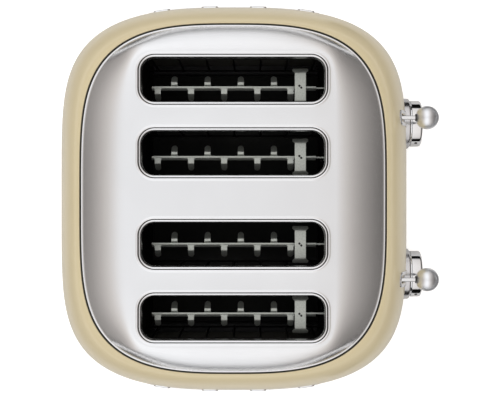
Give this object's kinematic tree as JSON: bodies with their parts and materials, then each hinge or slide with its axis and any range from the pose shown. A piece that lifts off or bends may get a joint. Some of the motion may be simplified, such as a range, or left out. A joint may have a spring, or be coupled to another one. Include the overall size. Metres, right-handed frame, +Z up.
{
  "type": "pop up toaster",
  "caption": "Wide square pop-up toaster in cream enamel with a domed steel top, long bread slots, ball levers, round knobs and crumb trays at the back.",
  "frame": {"origin": "on the surface the toaster stands on, under the middle of the whole part, levers included", "axes": "+Z up, -Y towards the levers at the front, +X to the toaster's right"},
  "size_m": [0.3778, 0.3652, 0.215],
  "materials": {
    "cream_enamel": "gloss",
    "satin_steel": "satin",
    "chrome": "polished",
    "galvanised_steel": "dull",
    "dark_steel": "heat darkened",
    "spring_steel": "bright",
    "copper": "enamelled wire",
    "mica": "matt",
    "black_rubber": "matt",
    "black_plastic": "matt",
    "circuit_board": "lacquered"
  },
  "bodies": {
    "chassis": {"body_shell": "cream_enamel", "top_plate": "satin_steel", "top_gasket": "black_rubber", "base_trim": "chrome", "base_plate": "black_plastic", "cord_gland": "black_rubber", "foot_front_left": "black_rubber", "foot_rear_left": "black_rubber", "side_trim_left": "chrome", "heater_left_outer": "mica", "heater_left_middle": "mica", "heater_left_inner": "mica", "guide_rod_left": "satin_steel", "pop_up_spring_left": "spring_steel", "electromagnet_left": "copper", "lever_slot_trim_left": "chrome", "knob_ring_left": "satin_steel", "control_board_left": "circuit_board", "foot_front_right": "black_rubber", "foot_rear_right": "black_rubber", "side_trim_right": "chrome", "heater_right_outer": "mica", "heater_right_middle": "mica", "heater_right_inner": "mica", "guide_rod_right": "satin_steel", "pop_up_spring_right": "spring_steel", "electromagnet_right": "copper", "lever_slot_trim_right": "chrome", "knob_ring_right": "satin_steel", "control_board_right": "circuit_board", "front_frame": "galvanised_steel", "rear_frame": "galvanised_steel"},
    "left_carriage": {"carriage_left": "galvanised_steel", "bread_carrier_left_outer": "galvanised_steel", "bread_carrier_left_inner": "galvanised_steel", "lever_arm_left": "chrome", "lever_ball_left": "chrome"},
    "left_outer_slot_guard_outward_body": {"left_outer_slot_guard_outward": "dark_steel"},
    "left_outer_slot_guard_inward_body": {"left_outer_slot_guard_inward": "dark_steel"},
    "left_inner_slot_guard_outward_body": {"left_inner_slot_guard_outward": "dark_steel"},
    "left_inner_slot_guard_inward_body": {"left_inner_slot_guard_inward": "dark_steel"},
    "left_rotary_knob": {"rotary_knob_left": "chrome"},
    "left_stop_button": {"stop_button_left": "chrome"},
    "left_reheat_button": {"reheat_button_left": "chrome"},
    "left_defrost_button": {"defrost_button_left": "chrome"},
    "left_crumb_tray": {"crumb_tray_left": "satin_steel"},
    "right_carriage": {"carriage_right": "galvanised_steel", "bread_carrier_right_outer": "galvanised_steel", "bread_carrier_right_inner": "galvanised_steel", "lever_arm_right": "chrome", "lever_ball_right": "chrome"},
    "right_outer_slot_guard_outward_body": {"right_outer_slot_guard_outward": "dark_steel"},
    "right_outer_slot_guard_inward_body": {"right_outer_slot_guard_inward": "dark_steel"},
    "right_inner_slot_guard_outward_body": {"right_inner_slot_guard_outward": "dark_steel"},
    "right_inner_slot_guard_inward_body": {"right_inner_slot_guard_inward": "dark_steel"},
    "right_rotary_knob": {"rotary_knob_right": "chrome"},
    "right_stop_button": {"stop_button_right": "chrome"},
    "right_reheat_button": {"reheat_button_right": "chrome"},
    "right_defrost_button": {"defrost_button_right": "chrome"},
    "right_crumb_tray": {"crumb_tray_right": "satin_steel"}
  },
  "joints": [
    {"name": "left_lever_slide", "type": "slide", "parent": "chassis", "child": "left_carriage", "axis": [0, 0, -1], "range_m": [0, 0.06], "stiffness_N_per_m": 100, "springref_m": -0.06, "deforming": ["pop_up_spring_left"]},
    {"name": "left_outer_slot_guard_outward_hinge", "type": "hinge", "parent": "chassis", "child": "left_outer_slot_guard_outward_body", "pos_m": [-0.1319, 0.0126, 0.072], "axis": [0, 1, 0], "range_deg": [0, 6.2]},
    {"name": "left_outer_slot_guard_inward_hinge", "type": "hinge", "parent": "chassis", "child": "left_outer_slot_guard_inward_body", "pos_m": [-0.0869, 0.0126, 0.072], "axis": [0, -1, 0], "range_deg": [0, 6.2]},
    {"name": "left_inner_slot_guard_outward_hinge", "type": "hinge", "parent": "chassis", "child": "left_inner_slot_guard_outward_body", "pos_m": [-0.0645, 0.0126, 0.072], "axis": [0, 1, 0], "range_deg": [0, 6.2]},
    {"name": "left_inner_slot_guard_inward_hinge", "type": "hinge", "parent": "chassis", "child": "left_inner_slot_guard_inward_body", "pos_m": [-0.0195, 0.0126, 0.072], "axis": [0, -1, 0], "range_deg": [0, 6.2]},
    {"name": "left_knob_turn", "type": "hinge", "parent": "chassis", "child": "left_rotary_knob", "pos_m": [-0.077, -0.1684, 0.076], "axis": [0, -1, 0], "range_deg": [-135, 135]},
    {"name": "left_stop_press", "type": "slide", "parent": "chassis", "child": "left_stop_button", "axis": [0, 1, 0], "range_m": [0, 0.0025], "stiffness_N_per_m": 300, "springref_m": -0.001},
    {"name": "left_reheat_press", "type": "slide", "parent": "chassis", "child": "left_reheat_button", "axis": [0, 1, 0], "range_m": [0, 0.0025], "stiffness_N_per_m": 300, "springref_m": -0.001},
    {"name": "left_defrost_press", "type": "slide", "parent": "chassis", "child": "left_defrost_button", "axis": [0, 1, 0], "range_m": [0, 0.0025], "stiffness_N_per_m": 300, "springref_m": -0.001},
    {"name": "left_tray_slide", "type": "slide", "parent": "chassis", "child": "left_crumb_tray", "axis": [0, 1, 0], "range_m": [0, 0.2]},
    {"name": "right_lever_slide", "type": "slide", "parent": "chassis", "child": "right_carriage", "axis": [0, 0, -1], "range_m": [0, 0.06], "stiffness_N_per_m": 100, "springref_m": -0.06, "deforming": ["pop_up_spring_right"]},
    {"name": "right_outer_slot_guard_outward_hinge", "type": "hinge", "parent": "chassis", "child": "right_outer_slot_guard_outward_body", "pos_m": [0.1319, 0.0126, 0.072], "axis": [0, -1, 0], "range_deg": [0, 6.2]},
    {"name": "right_outer_slot_guard_inward_hinge", "type": "hinge", "parent": "chassis", "child": "right_outer_slot_guard_inward_body", "pos_m": [0.0869, 0.0126, 0.072], "axis": [0, 1, 0], "range_deg": [0, 6.2]},
    {"name": "right_inner_slot_guard_outward_hinge", "type": "hinge", "parent": "chassis", "child": "right_inner_slot_guard_outward_body", "pos_m": [0.0645, 0.0126, 0.072], "axis": [0, -1, 0], "range_deg": [0, 6.2]},
    {"name": "right_inner_slot_guard_inward_hinge", "type": "hinge", "parent": "chassis", "child": "right_inner_slot_guard_inward_body", "pos_m": [0.0195, 0.0126, 0.072], "axis": [0, 1, 0], "range_deg": [0, 6.2]},
    {"name": "right_knob_turn", "type": "hinge", "parent": "chassis", "child": "right_rotary_knob", "pos_m": [0.077, -0.1684, 0.076], "axis": [0, -1, 0], "range_deg": [-135, 135]},
    {"name": "right_stop_press", "type": "slide", "parent": "chassis", "child": "right_stop_button", "axis": [0, 1, 0], "range_m": [0, 0.0025], "stiffness_N_per_m": 300, "springref_m": -0.001},
    {"name": "right_reheat_press", "type": "slide", "parent": "chassis", "child": "right_reheat_button", "axis": [0, 1, 0], "range_m": [0, 0.0025], "stiffness_N_per_m": 300, "springref_m": -0.001},
    {"name": "right_defrost_press", "type": "slide", "parent": "chassis", "child": "right_defrost_button", "axis": [0, 1, 0], "range_m": [0, 0.0025], "stiffness_N_per_m": 300, "springref_m": -0.001},
    {"name": "right_tray_slide", "type": "slide", "parent": "chassis", "child": "right_crumb_tray", "axis": [0, 1, 0], "range_m": [0, 0.2]}
  ],
  "couplings": [
    {"joint": "left_outer_slot_guard_outward_hinge", "follows": "left_lever_slide", "rad_per_m": 1.7453},
    {"joint": "left_outer_slot_guard_inward_hinge", "follows": "left_lever_slide", "rad_per_m": 1.7453},
    {"joint": "left_inner_slot_guard_outward_hinge", "follows": "left_lever_slide", "rad_per_m": 1.7453},
    {"joint": "left_inner_slot_guard_inward_hinge", "follows": "left_lever_slide", "rad_per_m": 1.7453},
    {"joint": "right_outer_slot_guard_outward_hinge", "follows": "right_lever_slide", "rad_per_m": 1.7453},
    {"joint": "right_outer_slot_guard_inward_hinge", "follows": "right_lever_slide", "rad_per_m": 1.7453},
    {"joint": "right_inner_slot_guard_outward_hinge", "follows": "right_lever_slide", "rad_per_m": 1.7453},
    {"joint": "right_inner_slot_guard_inward_hinge", "follows": "right_lever_slide", "rad_per_m": 1.7453}
  ]
}
